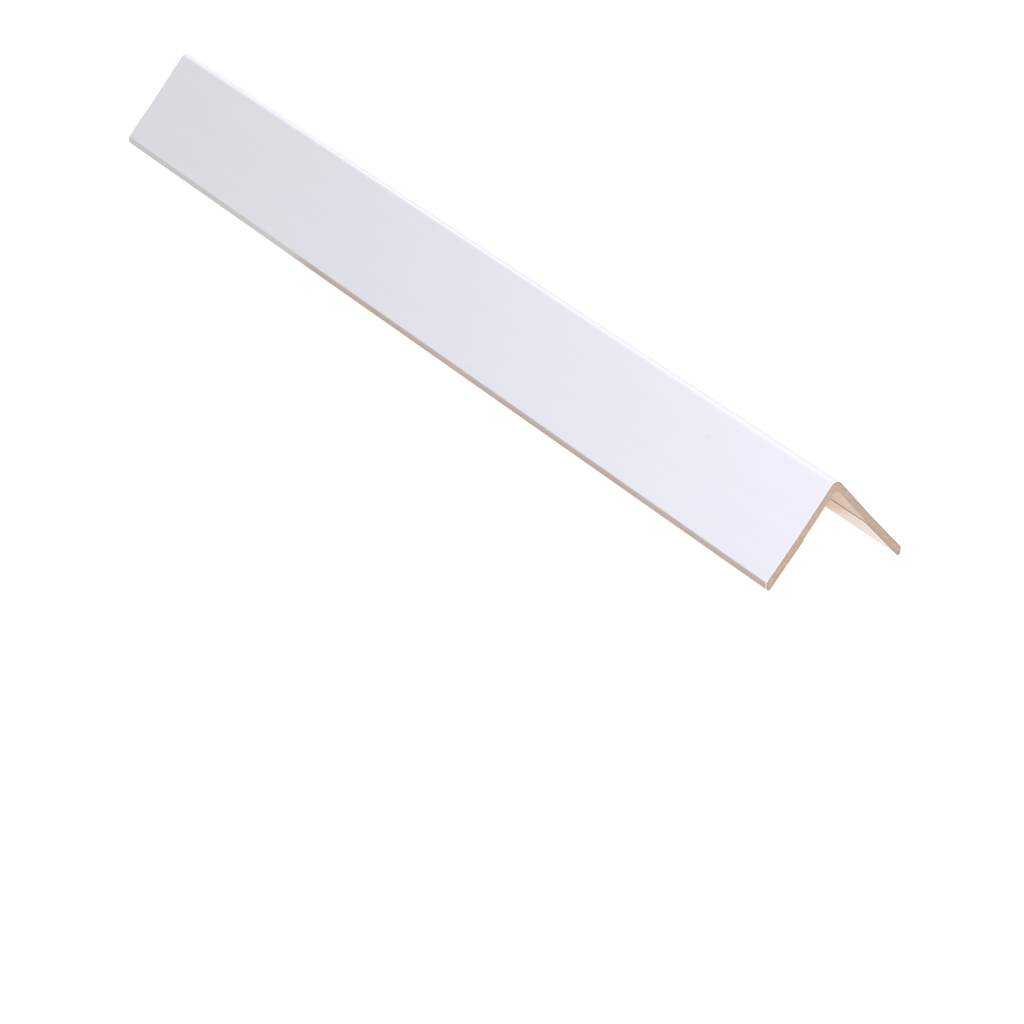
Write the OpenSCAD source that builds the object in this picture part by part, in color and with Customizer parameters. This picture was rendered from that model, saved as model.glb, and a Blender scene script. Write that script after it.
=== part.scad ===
// Pallet edge protector: an angle of laminated paperboard that stands over the edge of a
// palletised load and spreads the pull of the straps. It is one glued and pressed piece.
// It stands as a tent: the length runs along X, the bend is on top and the two free edges
// rest on Z = 0.

/* [Board] */
// Length of the angle between its two sawn ends
length = 560; // [100:10:1500]
// Width of a leg along its outer face, from the sharp outer corner to the free edge
leg_w = 50; // [40:1:90]
// Thickness of the pressed plies above the seam
board_t = 3.2; // [2:0.1:6]
// Thickness of the cover ply that is turned in round the free edges
cover_t = 0.3; // [0.2:0.05:1]

/* [Bend] */
// Angle between the legs at the bend
bend_angle = 79; // [60:1:110]
// Radius of the bend on the outside
outer_r = 3; // [2:0.2:8]
// Radius of the bend on the inside
inner_r = 2; // [0.5:0.1:6]

/* [Turned-in margin] */
// Width of the turned-in cover ply on the inner face, from its seam to the free edge
margin_w = 26; // [10:0.5:35]
// Angle by which the margin leans further out than the leg above the seam
flare = 1.5; // [0:0.1:8]

/* [Free edge] */
// Distance that the inner plies slid past the outer ply when the board was bent
ply_shift = 3.6; // [0:0.1:5]
// Radius of the cover ply where it turns round the free edge
edge_r = 1; // [0.3:0.1:1.5]

/* [Hidden] */
$fn = 180;

cover_white = [0.93, 0.93, 0.95];

// A rounding stands this much proud, so that its arc crosses the flats beside it
arc_lap = 0.001;

// Leg angles from the vertical, above and below the crease at the seam
half_angle = bend_angle / 2;
margin_angle = half_angle + flare;

// Distance down the leg from the sharp outer corner to the end of the bend on the inner face
inner_bend_w = (board_t + inner_r) / tan(half_angle);

// Distances down the margin from the crease on the outer face to the two sharp free corners
crease_shift = board_t * tan(flare / 2);
inner_reach = margin_w - crease_shift;
outer_reach = inner_reach - ply_shift;
crease_w = leg_w - outer_reach;

// Free edge: its thickness, its slant, and the centres of its round corners, in the margin's
// frame with x out of the outer face and y up the leg
margin_t = board_t + cover_t;
edge_slant = atan(ply_shift / margin_t);
outer_corner = [-edge_r, edge_r * (1 - sin(edge_slant)) / cos(edge_slant) - outer_reach];
inner_corner = [edge_r - margin_t, edge_r * (1 + sin(edge_slant)) / cos(edge_slant) - inner_reach];

// Heights of the sharp outer corner and of the two bend centres above the feet
sharp_z = edge_r + crease_w * cos(half_angle) - turned(inner_corner, margin_angle).y;
outer_bend_z = sharp_z - outer_r / sin(half_angle);
inner_bend_z = sharp_z - (board_t + inner_r) / sin(half_angle);

function on_circle(r, angle) = [r * cos(angle), r * sin(angle)];

function turned(p, angle) =
    [p.x * cos(angle) - p.y * sin(angle), p.x * sin(angle) + p.y * cos(angle)];

// Point given in the leg's frame, from the sharp outer corner
function on_leg(p) = [0, sharp_z] + turned(p, half_angle);

// Point given in the margin's frame, from the crease on the outer face
function on_margin(p) = on_leg([0, -crease_w]) + turned(p, margin_angle);

function mirrored(points) = [for (i = [len(points) - 1:-1:0]) [-points[i].x, points[i].y]];

// Outline of both legs, each from the inside of the bend round the free edge to the crease,
// with a sharp bend outside and each other rounding left as a flat between its arc's ends
module leg_pair() {
    edge_normal = on_circle(edge_r, edge_slant - 90);
    leg = [
        on_leg([-board_t, -inner_bend_w]),
        on_margin([-board_t, crease_shift]),
        on_margin([-margin_t, crease_shift]),
        on_margin([-margin_t, inner_corner.y]),
        on_margin(inner_corner + edge_normal),
        on_margin(outer_corner + edge_normal),
        on_margin([0, outer_corner.y]),
        on_margin([0, 0])
    ];
    polygon(concat(leg, [[0, sharp_z]], mirrored(leg)));
}

// Sharp corner outside the bend, above the ends of its arc
module bend_waste() {
    translate([0, outer_bend_z])
        difference() {
            translate([-outer_r, outer_r * sin(half_angle)])
                square([2 * outer_r, outer_r / sin(half_angle)]);
            circle(outer_r + arc_lap);
        }
}

// Round corners of both free edges
module edge_rounds() {
    for (side = [-1, 1], corner = [outer_corner, inner_corner]) {
        centre = on_margin(corner);
        translate([side * centre.x, centre.y])
            circle(edge_r + arc_lap);
    }
}

module angle_section() {
    difference() {
        union() {
            leg_pair();
            edge_rounds();
        }
        bend_waste();
        translate([0, inner_bend_z])
            circle(inner_r + arc_lap);
    }
}

module edge_protector() {
    color(cover_white)
        rotate([90, 0, 90])
            linear_extrude(length, center = true)
                angle_section();
}

edge_protector();
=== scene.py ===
from math import atan, cos, pi, radians, sin, sqrt, tan

import bmesh
import bpy
from mathutils import Matrix, Vector


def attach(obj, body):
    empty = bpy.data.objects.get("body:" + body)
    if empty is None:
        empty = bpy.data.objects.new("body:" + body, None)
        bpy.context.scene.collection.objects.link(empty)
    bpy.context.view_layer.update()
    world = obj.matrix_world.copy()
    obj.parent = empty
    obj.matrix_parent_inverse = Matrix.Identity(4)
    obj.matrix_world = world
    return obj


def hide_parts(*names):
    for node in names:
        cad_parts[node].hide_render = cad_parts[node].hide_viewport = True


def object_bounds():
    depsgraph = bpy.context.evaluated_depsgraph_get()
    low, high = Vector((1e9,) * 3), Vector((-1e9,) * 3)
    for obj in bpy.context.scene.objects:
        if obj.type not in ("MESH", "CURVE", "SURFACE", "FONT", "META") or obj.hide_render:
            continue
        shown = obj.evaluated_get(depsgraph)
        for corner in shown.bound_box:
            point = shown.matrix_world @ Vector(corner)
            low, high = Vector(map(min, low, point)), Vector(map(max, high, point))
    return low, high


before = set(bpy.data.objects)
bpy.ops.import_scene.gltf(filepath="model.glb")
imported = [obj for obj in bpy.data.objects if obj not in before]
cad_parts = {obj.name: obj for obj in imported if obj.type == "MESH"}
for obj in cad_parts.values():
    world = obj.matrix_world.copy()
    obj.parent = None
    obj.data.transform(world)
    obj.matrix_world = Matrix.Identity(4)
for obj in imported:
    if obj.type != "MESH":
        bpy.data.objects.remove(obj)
cad_low, cad_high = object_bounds()


# Kraft plies
# The body of the board: plies of brown kraft paper, glued face to face, bent over rollers while
# the glue is wet, and sawn to length. The layers show at both sawn ends, and the innermost ply
# shows on the inside between the two seams of the cover.
MM = 0.001
LENGTH = cad_high.x - cad_low.x
LEG_WIDTH = 50 * MM
BOARD_THICK = 3.2 * MM
COVER_THICK = 0.3 * MM
HALF_BEND = radians(39.5)
BEND_OUTER_R = 3 * MM
BEND_INNER_R = 2 * MM
MARGIN_WIDTH = 26 * MM
FLARE = radians(1.5)
PLY_SHIFT = 3.6 * MM
EDGE_R = 1 * MM
PLY_COUNT = 6
GLUE_LINE = 0.05
SAW_WANDER = 0.14 * MM
BEND_STEPS = 16
LEG_STEPS = 24
MARGIN_STEPS = 20

MARGIN_LEAN = HALF_BEND + FLARE
MARGIN_THICK = BOARD_THICK + COVER_THICK
SEAM_RISE = BOARD_THICK * tan(FLARE / 2)
INNER_REACH = MARGIN_WIDTH - SEAM_RISE
OUTER_REACH = INNER_REACH - PLY_SHIFT
CREASE_DROP = LEG_WIDTH - OUTER_REACH
EDGE_SLANT = atan(PLY_SHIFT / MARGIN_THICK)


# A distance out of a face and one up the leg, as a step in the section's plane
def leaning(out, up, lean):
    return Vector((0, out * cos(lean) - up * sin(lean), out * sin(lean) + up * cos(lean)))


OUTER_FOLD = (-EDGE_R, EDGE_R * (1 - sin(EDGE_SLANT)) / cos(EDGE_SLANT) - OUTER_REACH)
INNER_FOLD = (EDGE_R - MARGIN_THICK, EDGE_R * (1 + sin(EDGE_SLANT)) / cos(EDGE_SLANT) - INNER_REACH)
SHARP_HEIGHT = EDGE_R + CREASE_DROP * cos(HALF_BEND) - leaning(*INNER_FOLD, MARGIN_LEAN).z
CREASE = Vector((0, 0, SHARP_HEIGHT)) + leaning(0, -CREASE_DROP, HALF_BEND)


def on_margin(out, up):
    return CREASE + leaning(out, up, MARGIN_LEAN)


# Points after a first one, evenly along a straight run to another
def run(start, end, steps):
    return [start.lerp(end, step / steps) for step in range(1, steps + 1)]


# Line at a depth below the outer face, from the top of the bend down the +Y leg to the crease
def leg_line(depth):
    radius = BEND_OUTER_R + (BEND_INNER_R - BEND_OUTER_R) * depth / BOARD_THICK
    centre = Vector((0, 0, SHARP_HEIGHT - (depth + radius) / sin(HALF_BEND)))
    angles = [pi / 2 - (pi / 2 - HALF_BEND) * step / BEND_STEPS for step in range(BEND_STEPS + 1)]
    bend = [centre + radius * Vector((0, cos(angle), sin(angle))) for angle in angles]
    return bend + run(bend[-1], on_margin(-depth, depth * tan(FLARE / 2)), LEG_STEPS)


# Whole line of a glue plane: its ply ends inside the cover, where the plies slid past each other
def ply_line(depth):
    radius = EDGE_R - COVER_THICK
    slide = radius * sin(EDGE_SLANT)
    past_outer = -depth - OUTER_FOLD[0]
    past_inner = -depth - INNER_FOLD[0]
    if past_outer > slide:
        end = OUTER_FOLD[1] - sqrt(max(0, radius ** 2 - past_outer ** 2))
    elif past_inner < slide:
        end = INNER_FOLD[1] - sqrt(max(0, radius ** 2 - past_inner ** 2))
    else:
        end = COVER_THICK / cos(EDGE_SLANT) - OUTER_REACH - depth * tan(EDGE_SLANT)
    leg = leg_line(depth)
    return leg + run(leg[-1], on_margin(-depth, end), MARGIN_STEPS)


# Lines across both legs as one object, from lines down the +Y leg with equal numbers of points
def section_lines(name, leg_lines):
    flip = Matrix.Diagonal((1, -1, 1))
    lines = [[flip @ point for point in reversed(line[1:])] + line for line in leg_lines]
    points = [point for line in lines for point in line]
    edges = [(i - 1, i) for i in range(len(points)) if i % len(lines[0])]
    mesh = bpy.data.meshes.new(name)
    mesh.from_pydata(points, edges, [])
    piece = bpy.data.objects.new(name, mesh)
    bpy.context.scene.collection.objects.link(piece)
    return piece


# New node in a tree, with its settings, and with values or other nodes' sockets on its inputs
def add_node(tree, kind, inputs, **settings):
    made = tree.nodes.new(kind)
    for setting, value in settings.items():
        setattr(made, setting, value)
    for socket, value in inputs.items():
        if isinstance(value, bpy.types.NodeSocket):
            tree.links.new(value, made.inputs[socket])
        else:
            made.inputs[socket].default_value = value
    return made


def maths(tree, operation, *values):
    return add_node(tree, "ShaderNodeMath", dict(enumerate(values)), operation=operation).outputs[0]


def vector_maths(tree, operation, first, second):
    inputs = {0: first, "Scale" if operation == "SCALE" else 1: second}
    return add_node(tree, "ShaderNodeVectorMath", inputs, operation=operation).outputs[0]


def axes(tree, vector):
    return add_node(tree, "ShaderNodeSeparateXYZ", {0: vector}).outputs


def vector(tree, **parts):
    inputs = {label.upper(): part for label, part in parts.items()}
    return add_node(tree, "ShaderNodeCombineXYZ", inputs).outputs[0]


# Tree that sweeps the section's lines along X, with one closed sheet between each two of them
lamination = bpy.data.node_groups.new("lamination", "GeometryNodeTree")
LAMINATION_INPUTS = {
    "Section": "NodeSocketGeometry",
    "Plies": "NodeSocketInt",
    "Stations": "NodeSocketInt",
    "Length": "NodeSocketFloat",
    "Glue line": "NodeSocketFloat",
    "Saw wander": "NodeSocketFloat",
    "Seam wander": "NodeSocketFloat",
    "Seam lean": "NodeSocketFloat",
    "Seed": "NodeSocketFloat",
    "Face": "NodeSocketMaterial",
    "Sawn end": "NodeSocketMaterial",
}
for label, kind in LAMINATION_INPUTS.items():
    lamination.interface.new_socket(name=label, in_out="INPUT", socket_type=kind)
lamination.interface.new_socket(name="Board", in_out="OUTPUT", socket_type="NodeSocketGeometry")
given = add_node(lamination, "NodeGroupInput", {}).outputs
place = add_node(lamination, "GeometryNodeInputPosition", {}).outputs[0]


def stored(kind, label):
    inputs = {"Name": label}
    return add_node(lamination, "GeometryNodeInputNamedAttribute", inputs, data_type=kind).outputs[0]


def store(geometry, domain, kind, label, value, selection=True):
    inputs = {"Geometry": geometry, "Selection": selection, "Name": label, "Value": value}
    settings = {"domain": domain, "data_type": kind}
    return add_node(lamination, "GeometryNodeStoreNamedAttribute", inputs, **settings).outputs[0]


def moved(geometry, **inputs):
    inputs = {"Geometry": geometry} | {label.capitalize(): value for label, value in inputs.items()}
    return add_node(lamination, "GeometryNodeSetPosition", inputs).outputs[0]


section_size = add_node(lamination, "GeometryNodeAttributeDomainSize", {"Geometry": given["Section"]})
line_count = maths(lamination, "ADD", given["Plies"], 1.0)
line_size = maths(lamination, "DIVIDE", section_size.outputs["Point Count"], line_count)
grid_inputs = {"Size X": 1, "Size Y": 1, "Vertices X": given["Stations"], "Vertices Y": line_size}
sheet = add_node(lamination, "GeometryNodeMeshGrid", grid_inputs).outputs["Mesh"]
grid_axes = axes(lamination, place)
sheet = store(sheet, "POINT", "FLOAT", "along", grid_axes[0])
sheet = store(sheet, "POINT", "FLOAT", "across", grid_axes[1])

ply_points = add_node(lamination, "GeometryNodeMeshLine", {"Count": given["Plies"]}).outputs[0]
stack_inputs = {"Points": ply_points, "Instance": sheet}
stack = add_node(lamination, "GeometryNodeInstanceOnPoints", stack_inputs).outputs[0]
ply_number = add_node(lamination, "GeometryNodeInputIndex", {}).outputs[0]
stack = store(stack, "INSTANCE", "INT", "ply", ply_number)
stack = add_node(lamination, "GeometryNodeRealizeInstances", {"Geometry": stack}).outputs[0]

along = stored("FLOAT", "along")
across = stored("FLOAT", "across")
ply = stored("INT", "ply")
station = vector(lamination, x=maths(lamination, "MULTIPLY", along, given["Length"]))
last_point = maths(lamination, "SUBTRACT", line_size, 1.0)
line_share = maths(lamination, "ADD", across, 0.5)
line_point = maths(lamination, "ROUND", maths(lamination, "MULTIPLY", line_share, last_point))


# Place of this point on the glue plane that many planes below the top of its own ply
def on_plane(planes_down):
    plane = maths(lamination, "ADD", ply, planes_down)
    index = maths(lamination, "MULTIPLY_ADD", plane, line_size, line_point)
    inputs = {"Geometry": given["Section"], "Value": place, "Index": index}
    return add_node(lamination, "GeometryNodeSampleIndex", inputs, data_type="FLOAT_VECTOR").outputs[0]


plane_above = on_plane(0.0)
ply_way = vector_maths(lamination, "SUBTRACT", on_plane(1.0), plane_above)


def skin_place(share):
    inward = vector_maths(lamination, "SCALE", ply_way, share)
    in_section = vector_maths(lamination, "ADD", plane_above, inward)
    return vector_maths(lamination, "ADD", in_section, station)


outer_skin = moved(stack, position=skin_place(given["Glue line"]))
outer_skin = store(outer_skin, "POINT", "FLOAT", "depth", 0.0)
wall_inputs = {"Mesh": outer_skin, "Offset Scale": 0.0, "Individual": False}
walls = add_node(lamination, "GeometryNodeExtrudeMesh", wall_inputs)
inner_share = maths(lamination, "SUBTRACT", 1.0, given["Glue line"])
inner_place = skin_place(inner_share)
inner_skin = moved(walls.outputs["Mesh"], selection=walls.outputs["Top"], position=inner_place)
inner_skin = store(inner_skin, "POINT", "FLOAT", "depth", 1.0, walls.outputs["Top"])
closed = add_node(lamination, "GeometryNodeJoinGeometry", {})
lamination.links.new(outer_skin, closed.inputs[0])
lamination.links.new(inner_skin, closed.inputs[0])
WELD_REACH = 0.001 * MM
weld_inputs = {"Geometry": closed.outputs[0], "Distance": WELD_REACH}
board = add_node(lamination, "GeometryNodeMergeByDistance", weld_inputs).outputs[0]
BORDER_SHARE = 0.4999


# Unevenness from 0 to 1 at a place, the same in every run
def wandering(scale, where):
    inputs = {"Vector": where, "W": given["Seed"], "Scale": scale, "Detail": 2.0}
    return add_node(lamination, "ShaderNodeTexNoise", inputs, noise_dimensions="4D").outputs[0]


# 1 on the two borders of a sheet, where its share along or across is at its largest
def at_border(share):
    return maths(lamination, "GREATER_THAN", maths(lamination, "ABSOLUTE", share), BORDER_SHARE)


SEAM_WAVES = 16
SAW_WAVES = 420
seam_swing = maths(lamination, "SUBTRACT", wandering(SEAM_WAVES, station), 0.5)
seam_swing = maths(lamination, "MULTIPLY", seam_swing, given["Seam wander"])
lean_aside = maths(lamination, "SINE", given["Seam lean"])
lean_aside = maths(lamination, "MULTIPLY", lean_aside, maths(lamination, "SIGN", across))
seam_way = vector(
    lamination, y=maths(lamination, "MULTIPLY", lean_aside, -1.0),
    z=maths(lamination, "COSINE", given["Seam lean"]))
seam_step = vector_maths(lamination, "SCALE", seam_way, seam_swing)
board = moved(board, selection=at_border(across), offset=seam_step)

saw_place = vector_maths(lamination, "ADD", place, vector(lamination, x=ply))
recess = maths(lamination, "MULTIPLY", wandering(SAW_WAVES, saw_place), given["Saw wander"])
recess = maths(lamination, "MULTIPLY", recess, maths(lamination, "SIGN", along))
saw_step = vector(lamination, x=maths(lamination, "MULTIPLY", recess, -1.0))
board = moved(board, selection=at_border(along), offset=saw_step)

board = add_node(lamination, "GeometryNodeRealizeInstances", {"Geometry": board}).outputs[0]
face_inputs = {"Geometry": board, "Material": given["Face"]}
board = add_node(lamination, "GeometryNodeSetMaterial", face_inputs).outputs[0]
SAWN_FACING = 0.7
face_way = axes(lamination, add_node(lamination, "GeometryNodeInputNormal", {}).outputs[0])[0]
is_sawn = maths(lamination, "GREATER_THAN", maths(lamination, "ABSOLUTE", face_way), SAWN_FACING)
end_inputs = {"Geometry": board, "Selection": is_sawn, "Material": given["Sawn end"]}
board = add_node(lamination, "GeometryNodeSetMaterial", end_inputs).outputs[0]
add_node(lamination, "NodeGroupOutput", {0: board})
SHARP_ANGLE = radians(30)


# Plain mesh from section lines and the tree, with its faces turned outwards
def laminated(piece, **sizes):
    layers = piece.modifiers.new("lamination", "NODES")
    layers.node_group = lamination
    for item in lamination.interface.items_tree:
        label = item.name.lower().replace(" ", "_")
        if label in sizes:
            layers[item.identifier] = sizes[label]
    evaluated = piece.evaluated_get(bpy.context.evaluated_depsgraph_get())
    mesh = bpy.data.meshes.new_from_object(evaluated)
    piece.modifiers.remove(layers)
    piece.data = mesh
    mesh.name = piece.name
    shell = bmesh.new()
    shell.from_mesh(mesh)
    bmesh.ops.recalc_face_normals(shell, faces=shell.faces)
    shell.to_mesh(mesh)
    shell.free()
    mesh.shade_smooth()
    mesh.set_sharp_from_angle(angle=SHARP_ANGLE)


def new_material(name):
    material = bpy.data.materials.new(name)
    material.use_nodes = True
    return material


def noise(tree, where, scale, detail, roughness=0.5):
    inputs = {"Vector": where, "Scale": scale, "Detail": detail, "Roughness": roughness}
    return add_node(tree, "ShaderNodeTexNoise", inputs).outputs[0]


# Places on the piece, drawn out along an axis where its scale is below 1
def stretched(tree, scale):
    where = add_node(tree, "ShaderNodeTexCoord", {}).outputs["Object"]
    return add_node(tree, "ShaderNodeMapping", {"Vector": where, "Scale": scale}).outputs[0]


# Colour for a value, from stops that each have a value and a colour
def ramp(tree, value, *stops):
    made = add_node(tree, "ShaderNodeValToRGB", {0: value})
    for stop in stops[2:]:
        made.color_ramp.elements.new(stop[0])
    for element, (where, colour) in zip(made.color_ramp.elements, stops):
        element.position = where
        element.color = (*colour, 1)
    return made.outputs[0]


def blended(tree, share, first, second, blend_type="MIX"):
    inputs = {0: share, 6: first, 7: second}
    made = add_node(tree, "ShaderNodeMix", inputs, data_type="RGBA", blend_type=blend_type)
    return made.outputs[2]


def shaded(tree, tone, shade):
    return blended(tree, 1.0, tone, shade, "MULTIPLY")


def attribute(tree, label):
    return add_node(tree, "ShaderNodeAttribute", {}, attribute_name=label).outputs["Fac"]


# Surface of a paper: its colour, the relief of its fibres, and how little it shines
def papered(tree, colour, relief, strength, depth, roughness, specular):
    surface = tree.nodes["Principled BSDF"].inputs
    bump_inputs = {"Height": relief, "Strength": strength, "Distance": depth}
    tree.links.new(colour, surface["Base Color"])
    tree.links.new(add_node(tree, "ShaderNodeBump", bump_inputs).outputs[0], surface["Normal"])
    surface["Roughness"].default_value = roughness
    surface["Specular IOR Level"].default_value = specular


# Face of the kraft: fine fibres that lie along the board, and faint clouds
WHITE = (1, 1, 1)
FIBRE_SCALE = 900
FIBRE_STRETCH = (0.12, 1, 1)
FIBRE_DARK = (0.645, 0.54, 0.485)
FIBRE_PALE = (0.765, 0.66, 0.605)
CLOUD_SCALE = 60
CLOUD_STRETCH = (0.5, 1, 1)
CLOUD_SHADE = (0.95, 0.94, 0.93)
kraft_face = new_material("kraft_face")
tree = kraft_face.node_tree
fibres = noise(tree, stretched(tree, FIBRE_STRETCH), FIBRE_SCALE, detail=4.0)
clouds = noise(tree, stretched(tree, CLOUD_STRETCH), CLOUD_SCALE, detail=2.0)
fibre_tone = ramp(tree, fibres, (0.25, FIBRE_DARK), (0.75, FIBRE_PALE))
kraft_tone = shaded(tree, fibre_tone, ramp(tree, clouds, (0.3, CLOUD_SHADE), (0.7, WHITE)))
papered(tree, kraft_tone, fibres, strength=0.35, depth=0.06 * MM, roughness=0.85, specular=0.25)

# Sawn end of the kraft: a coarse grain with patches, and a tone of its own for each ply
EVEN_STRETCH = (1, 1, 1)
GRAIN_SCALE = 1600
GRAIN_DARK = (0.595, 0.442, 0.342)
GRAIN_PALE = (0.835, 0.645, 0.522)
PATCH_SCALE = 450
PATCH_DARK = (0.81, 0.84, 0.78)
PATCH_PALE = (1.0, 0.98, 0.98)
PLY_SHADE = (0.90, 0.89, 0.88)
sawn_kraft = new_material("sawn_kraft")
tree = sawn_kraft.node_tree
grain = noise(tree, stretched(tree, EVEN_STRETCH), GRAIN_SCALE, detail=4.0, roughness=0.6)
patches = noise(tree, stretched(tree, EVEN_STRETCH), PATCH_SCALE, detail=2.0)
ply_inputs = {"W": attribute(tree, "ply")}
ply_value = add_node(tree, "ShaderNodeTexWhiteNoise", ply_inputs, noise_dimensions="1D").outputs[0]
grain_tone = ramp(tree, grain, (0.28, GRAIN_DARK), (0.72, GRAIN_PALE))
sawn_tone = shaded(tree, grain_tone, ramp(tree, patches, (0.3, PATCH_DARK), (0.7, PATCH_PALE)))
sawn_tone = shaded(tree, sawn_tone, ramp(tree, ply_value, (0.0, PLY_SHADE), (1.0, WHITE)))
papered(tree, sawn_tone, grain, strength=0.5, depth=0.08 * MM, roughness=0.9, specular=0.2)

PLY_THICK = (BOARD_THICK - COVER_THICK) / PLY_COUNT
glue_planes = [COVER_THICK + PLY_THICK * number for number in range(PLY_COUNT + 1)]
kraft_plies = section_lines("kraft_plies", [ply_line(depth) for depth in glue_planes])
laminated(
    kraft_plies, plies=PLY_COUNT, stations=2, length=LENGTH, glue_line=GLUE_LINE,
    saw_wander=SAW_WANDER, seam_wander=0.0, seed=3.0, face=kraft_face, sawn_end=sawn_kraft)
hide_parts("edge_protector")
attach(kraft_plies, "root")


# White cover
# One sheet of white-faced paper glued over the plies in the same pass. It runs over the outside,
# turns round both free edges and ends on the inside in a cut edge, the seam. Its face is white,
# and the rest of its thickness is brown, which shows at the seams and at the sawn ends.
FOLD_STEPS = 8
EDGE_STEPS = 3
COVER_STATIONS = 81
SEAM_WANDER = 0.8 * MM


# Round of a fold at the free edge, from one direction to another in the margin's frame
def fold(centre, radius, start, end):
    out, up = centre
    angles = [start + (end - start) * step / FOLD_STEPS for step in range(FOLD_STEPS + 1)]
    return [on_margin(out + radius * cos(angle), up + radius * sin(angle)) for angle in angles]


def cover_line(depth):
    edge_way = EDGE_SLANT - pi / 2
    leg = leg_line(depth)
    outer = fold(OUTER_FOLD, EDGE_R - depth, 0, edge_way)
    inner = fold(INNER_FOLD, EDGE_R - depth, edge_way, -pi)
    line = leg + run(leg[-1], outer[0], MARGIN_STEPS) + outer[1:]
    line += run(outer[-1], inner[0], EDGE_STEPS) + inner[1:]
    return line + run(inner[-1], on_margin(depth - MARGIN_THICK, SEAM_RISE), MARGIN_STEPS)


# Shares of the half sheet, from the top of the bend, at which its two folds start and end
HALF_STEPS = BEND_STEPS + LEG_STEPS + EDGE_STEPS + 2 * (MARGIN_STEPS + FOLD_STEPS)
FOLDS_START = (BEND_STEPS + LEG_STEPS + MARGIN_STEPS) / HALF_STEPS
FOLDS_END = 1 - MARGIN_STEPS / HALF_STEPS
FOLD_SHARE = FOLDS_END - FOLDS_START


# Share of the half sheet at a share of the way round its two folds
def round_folds(share):
    return FOLDS_START + share * FOLD_SHARE


# White face: smooth, with a fine tooth and faint streaks along the board
BLACK = (0, 0, 0)
TOOTH_SCALE = 1500
TOOTH_STRETCH = (0.4, 1, 1)
STREAK_SCALE = 260
STREAK_STRETCH = (0.03, 1, 1)
STREAK_DARK = (0.831, 0.831, 0.882)
STREAK_PALE = (0.845, 0.845, 0.894)
white_paper = new_material("white_paper")
tree = white_paper.node_tree
tooth = noise(tree, stretched(tree, TOOTH_STRETCH), TOOTH_SCALE, detail=3.0)
streaks = noise(tree, stretched(tree, STREAK_STRETCH), STREAK_SCALE, detail=2.0)
paper_tone = ramp(tree, streaks, (0.3, STREAK_DARK), (0.7, STREAK_PALE))
along_share = maths(tree, "ADD", attribute(tree, "along"), 0.5)
end_share = maths(tree, "MULTIPLY", maths(tree, "ABSOLUTE", attribute(tree, "along")), 2.0)
sheet_share = maths(tree, "MULTIPLY", maths(tree, "ABSOLUTE", attribute(tree, "across")), 2.0)

# The turned-in margin is pale at both mouths and browner and darker further in, most along its seam
# and least towards the fold: painted shade of the warm light bounced about deep under the tent, partly
# a brown tint of the paper
MOUTH_START = 0.94
MOUTH_END = 0.972
MOUTH_SLANT = 0.125
DEEP_TINT_AND_SHADE = (0.685, 0.558, 0.475)
MOUTH_TONE = (0.75, 0.72, 0.695)
off_seam = maths(tree, "DIVIDE", maths(tree, "SUBTRACT", 1.0, sheet_share), 1 - FOLDS_END)
mouth_share = maths(tree, "MULTIPLY_ADD", off_seam, MOUTH_SLANT, end_share)
turned_tint_and_shade = ramp(tree, mouth_share, (MOUTH_START, DEEP_TINT_AND_SHADE), (MOUTH_END, MOUTH_TONE))
turned_in = maths(tree, "GREATER_THAN", sheet_share, round_folds(0.8))
paper_tone = blended(tree, turned_in, paper_tone, turned_tint_and_shade)

# The free edges are painted grey, as the shade that falls on the white paper there, and over their
# nearer part they are brown, paler at the top of the edge and browner towards the bottom, with faint
# noise in the tone
EDGE_NOISE_SCALE = 240
EDGE_NOISE_STRETCH = (0.1, 1, 1)
BROWN_WANDER = 0.06
EDGE_NOISE_DARK = (0.92, 0.91, 0.90)
EDGE_PAINTED_SHADE_GREY = (0.62, 0.62, 0.63, 1)
BROWN_START = 0.293
BROWN_END = 0.317
EDGE_BROWN_UPPER = (0.54, 0.475, 0.45)
EDGE_BROWN_LOWER = (0.51, 0.375, 0.305)
edge_noise = noise(tree, stretched(tree, EDGE_NOISE_STRETCH), EDGE_NOISE_SCALE, detail=4.0, roughness=0.6)
edge_swing = maths(tree, "SUBTRACT", edge_noise, 0.5)
brown_reach = maths(tree, "MULTIPLY_ADD", edge_swing, BROWN_WANDER, along_share)
brown_part = ramp(tree, brown_reach, (BROWN_START, BLACK), (BROWN_END, WHITE))
edge_brown_tone = ramp(tree, sheet_share, (round_folds(0.4), EDGE_BROWN_UPPER), (round_folds(0.62), EDGE_BROWN_LOWER))
edge_tone = blended(tree, brown_part, EDGE_PAINTED_SHADE_GREY, edge_brown_tone)
edge_tone = shaded(tree, edge_tone, ramp(tree, edge_noise, (0.3, EDGE_NOISE_DARK), (0.7, WHITE)))
free_edge = ramp(
    tree, sheet_share, (round_folds(0), BLACK), (round_folds(0.35), WHITE),
    (round_folds(0.7), WHITE), (round_folds(0.9), BLACK))
paper_tone = blended(tree, free_edge, paper_tone, edge_tone)

# A thin rim along the near end is a painted highlight where light catches the cut edge, pale on the
# outside and on the free edge, and brown on the inside
HIGHLIGHT_RIM_SHARE = 0.0016
RIM_HIGHLIGHT = (0.90, 0.90, 0.92, 1)
RIM_EDGE_HIGHLIGHT = (0.86, 0.76, 0.68, 1)
RIM_BROWN = (0.45, 0.38, 0.31, 1)
highlight_rim = maths(tree, "GREATER_THAN", along_share, 1 - HIGHLIGHT_RIM_SHARE)
highlight_rim_tone = blended(tree, free_edge, RIM_HIGHLIGHT, RIM_EDGE_HIGHLIGHT)
highlight_rim_tone = blended(tree, turned_in, highlight_rim_tone, RIM_BROWN)
paper_tone = blended(tree, highlight_rim, paper_tone, highlight_rim_tone)

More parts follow.
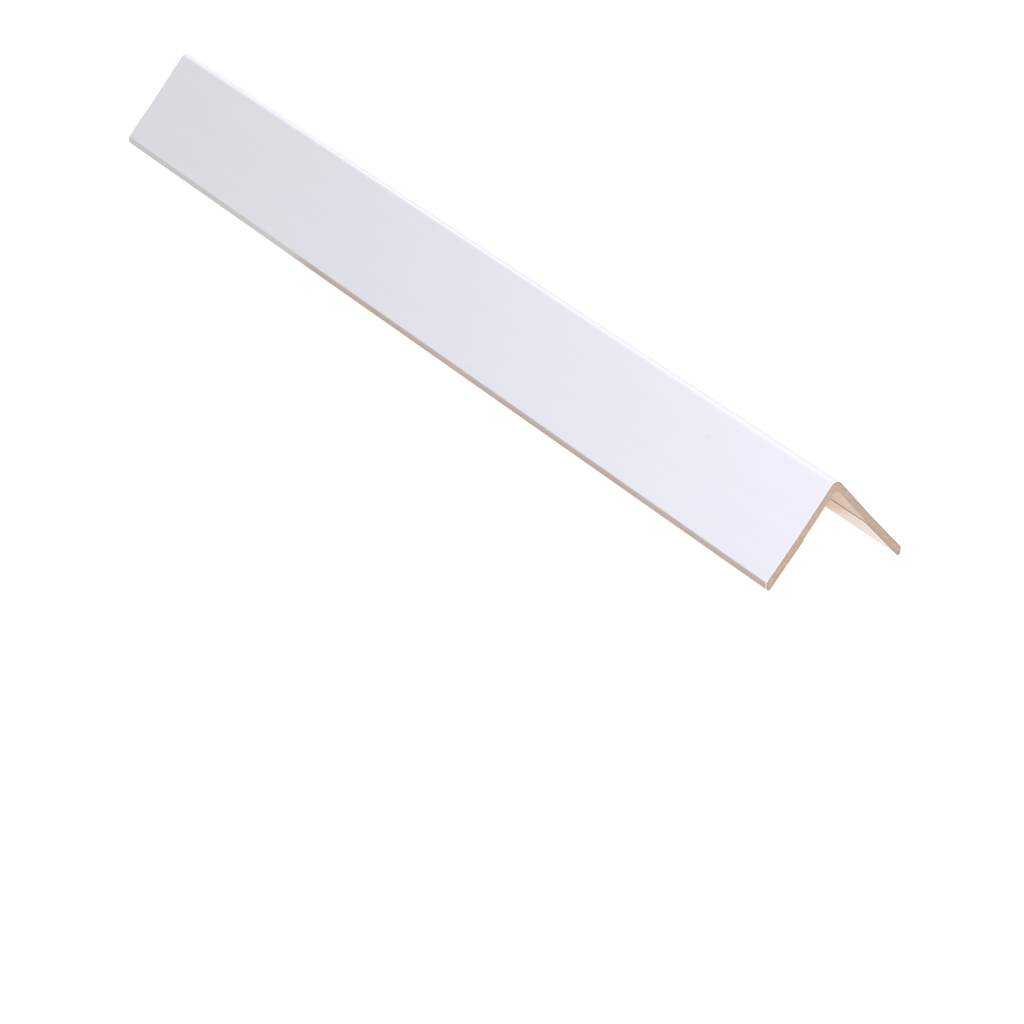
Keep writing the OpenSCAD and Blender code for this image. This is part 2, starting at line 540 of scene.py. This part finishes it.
# There are two faint scuffs on the front, given by their centres and their reach along the axes
SCUFFS = [
    (Vector((0.0437, -0.0298, 0.0064)), (1.2 * MM, 0.7 * MM, 2.2 * MM)),
    (Vector((0.2017, -0.0093, 0.0304)), (1.8 * MM, 1.2 * MM, 1.4 * MM)),
]
SCUFF_SHARE = (0.2, 0.2, 0.2)
SCUFF_TONE = (0.62, 0.61, 0.56, 1)
for centre, radii in SCUFFS:
    where = add_node(tree, "ShaderNodeTexCoord", {}).outputs["Object"]
    scuff_way = vector_maths(tree, "DIVIDE", vector_maths(tree, "SUBTRACT", where, centre), radii)
    scuff_reach = add_node(tree, "ShaderNodeVectorMath", {0: scuff_way}, operation="LENGTH")
    scuffed = ramp(tree, scuff_reach.outputs["Value"], (0.2, SCUFF_SHARE), (1.0, BLACK))
    paper_tone = blended(tree, scuffed, paper_tone, SCUFF_TONE)

# Under its white face the sheet is brown, and darkest where the saw went through
CORE_START = 0.08
CORE_FULL = 0.18
SEAM_CORE = (0.43, 0.335, 0.285, 1)
SAWN_CORE = (0.31, 0.25, 0.215, 1)
at_saw = maths(tree, "GREATER_THAN", end_share, 2 * BORDER_SHARE)
core_tone = blended(tree, at_saw, SEAM_CORE, SAWN_CORE)
brown_share = ramp(tree, attribute(tree, "depth"), (CORE_START, BLACK), (CORE_FULL, WHITE))
cover_tone = blended(tree, brown_share, paper_tone, core_tone)
papered(tree, cover_tone, tooth, strength=0.12, depth=0.03 * MM, roughness=0.5, specular=0.4)

white_cover = section_lines("white_cover", [cover_line(0), cover_line(COVER_THICK)])
laminated(
    white_cover, plies=1, stations=COVER_STATIONS, length=LENGTH, glue_line=0.0, saw_wander=SAW_WANDER,
    seam_wander=SEAM_WANDER, seam_lean=MARGIN_LEAN, seed=11.0, face=white_paper, sawn_end=white_paper)
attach(white_cover, "root")


# Floor, light and camera
# A plain pale floor that the camera sees as white with a faint shadow and that glows softly from
# below, one soft lamp over the near end and one behind the far end, and a camera at the
# photograph's viewing angle.
STUDIO_WHITE = (*WHITE, 1)
FLOOR_HALF = 12
FLOOR_COLOUR = (0.30, 0.29, 0.28, 1)
SHADOW_SHARE = (0.45, 0.45, 0.45, 1)
SEEN_LEVEL = 0.82
GLOW_COLOUR = (1.0, 0.95, 0.90, 1)
SHELTERED_COLOUR = (0.72, 0.49, 0.36, 1)
SHELTERED_HALF = 21 * MM
SHADED_COLOUR = (0.26, 0.22, 0.19, 1)
SHADED_HALF = 30 * MM
GLOW_LEVEL = 1.0
MOUTH_DEPTH = 100 * MM
floor_mesh = bpy.data.meshes.new("floor")
floor_corners = [(-FLOOR_HALF, -FLOOR_HALF, 0), (FLOOR_HALF, -FLOOR_HALF, 0),
                 (FLOOR_HALF, FLOOR_HALF, 0), (-FLOOR_HALF, FLOOR_HALF, 0)]
floor_mesh.from_pydata(floor_corners, [], [(0, 1, 2, 3)])
floor = bpy.data.objects.new("floor", floor_mesh)
bpy.context.scene.collection.objects.link(floor)
floor_paper = new_material("floor_paper")
tree = floor_paper.node_tree
tree.nodes.remove(tree.nodes["Principled BSDF"])


# 1 for a ray that shows the background itself: seen straight, mirrored or through glass
def shows_background(tree):
    rays = add_node(tree, "ShaderNodeLightPath", {}).outputs
    seen = maths(tree, "MAXIMUM", rays["Is Camera Ray"], rays["Is Glossy Ray"])
    return maths(tree, "MAXIMUM", seen, rays["Is Transmission Ray"])


def emission(tree, colour, strength):
    return add_node(tree, "ShaderNodeEmission", {"Color": colour, "Strength": strength}).outputs[0]


floor_place = axes(tree, add_node(tree, "ShaderNodeTexCoord", {}).outputs["Object"])
mouth_depth = maths(tree, "SUBTRACT", LENGTH / 2, maths(tree, "ABSOLUTE", floor_place[0]))
mouth_depth = maths(tree, "DIVIDE", mouth_depth, MOUTH_DEPTH)


# Share of the studio's light that the legs keep off the floor between them, more inside the mouths
def sheltered(half_width, start, end):
    between_legs = maths(tree, "LESS_THAN", maths(tree, "ABSOLUTE", floor_place[1]), half_width)
    return maths(tree, "MULTIPLY", between_legs, ramp(tree, mouth_depth, (start, BLACK), (end, WHITE)))


# Deep between the legs the camera sees a painted shadow on the floor, and the floor's glow there is a
# warm painted light, like light bounced off the kraft
shadow_floor = add_node(tree, "ShaderNodeBsdfDiffuse", {"Color": SHADOW_SHARE}).outputs[0]
shaded_share = sheltered(SHADED_HALF, start=0.5, end=1.0)
seen_tone = blended(tree, shaded_share, STUDIO_WHITE, SHADED_COLOUR)
seen_inputs = {0: shadow_floor, 1: emission(tree, seen_tone, SEEN_LEVEL)}
seen_floor = add_node(tree, "ShaderNodeAddShader", seen_inputs).outputs[0]
matt_floor = add_node(tree, "ShaderNodeBsdfDiffuse", {"Color": FLOOR_COLOUR}).outputs[0]
sheltered_share = sheltered(SHELTERED_HALF, start=0.2, end=0.4)
glow_tone = blended(tree, sheltered_share, GLOW_COLOUR, SHELTERED_COLOUR)
glow_inputs = {0: matt_floor, 1: emission(tree, glow_tone, GLOW_LEVEL)}
glowing_floor = add_node(tree, "ShaderNodeAddShader", glow_inputs).outputs[0]
floor_inputs = {0: shows_background(tree), 1: glowing_floor, 2: seen_floor}
floor_mix = add_node(tree, "ShaderNodeMixShader", floor_inputs).outputs[0]
tree.links.new(floor_mix, tree.nodes["Material Output"].inputs["Surface"])
floor_mesh.materials.append(floor_paper)

ROOM_LEVEL = 0.315
world = bpy.data.worlds.new("studio")
bpy.context.scene.world = world
world.use_nodes = True
tree = world.node_tree
room_light = tree.nodes["Background"]
room_light.inputs["Color"].default_value = STUDIO_WHITE
room_level = maths(tree, "MULTIPLY_ADD", shows_background(tree), 1 - ROOM_LEVEL, ROOM_LEVEL)
tree.links.new(room_level, room_light.inputs["Strength"])


def soft_lamp(name, place, aim, width, depth, energy, colour):
    lamp_data = bpy.data.lights.new(name, "AREA")
    lamp_data.shape = "RECTANGLE"
    lamp_data.size = width
    lamp_data.size_y = depth
    lamp_data.energy = energy
    lamp_data.color = colour
    lamp = bpy.data.objects.new(name, lamp_data)
    lamp.location = place
    lamp.rotation_euler = (Vector(aim) - lamp.location).to_track_quat("-Z", "Y").to_euler()
    bpy.context.scene.collection.objects.link(lamp)


soft_lamp(
    "front_lamp", place=(0.52, -0.2, 0.8), aim=(0.2, 0, 0), width=0.6, depth=0.5,
    energy=5.6, colour=(0.90, 0.91, 1.0))
soft_lamp(
    "back_lamp", place=(-0.9, 0.25, 0.7), aim=(0.35, 0, 0), width=0.4, depth=0.3,
    energy=5.0, colour=WHITE)

VIEW_TURN = radians(59.28)
VIEW_TILT = radians(90 - 25.85)
VIEW_PLACE = Vector((0.0148, -0.0808, 2.15))
camera_data = bpy.data.cameras.new("camera")
camera_data.sensor_width = 36
camera_data.lens = 170.7
camera = bpy.data.objects.new("camera", camera_data)
camera_turn = Matrix.Rotation(VIEW_TURN, 3, "Z") @ Matrix.Rotation(VIEW_TILT, 3, "X")
camera.rotation_euler = camera_turn.to_euler()
camera.location = camera_turn @ VIEW_PLACE
bpy.context.scene.collection.objects.link(camera)
bpy.context.scene.camera = camera
bpy.context.scene.view_settings.view_transform = "Standard"
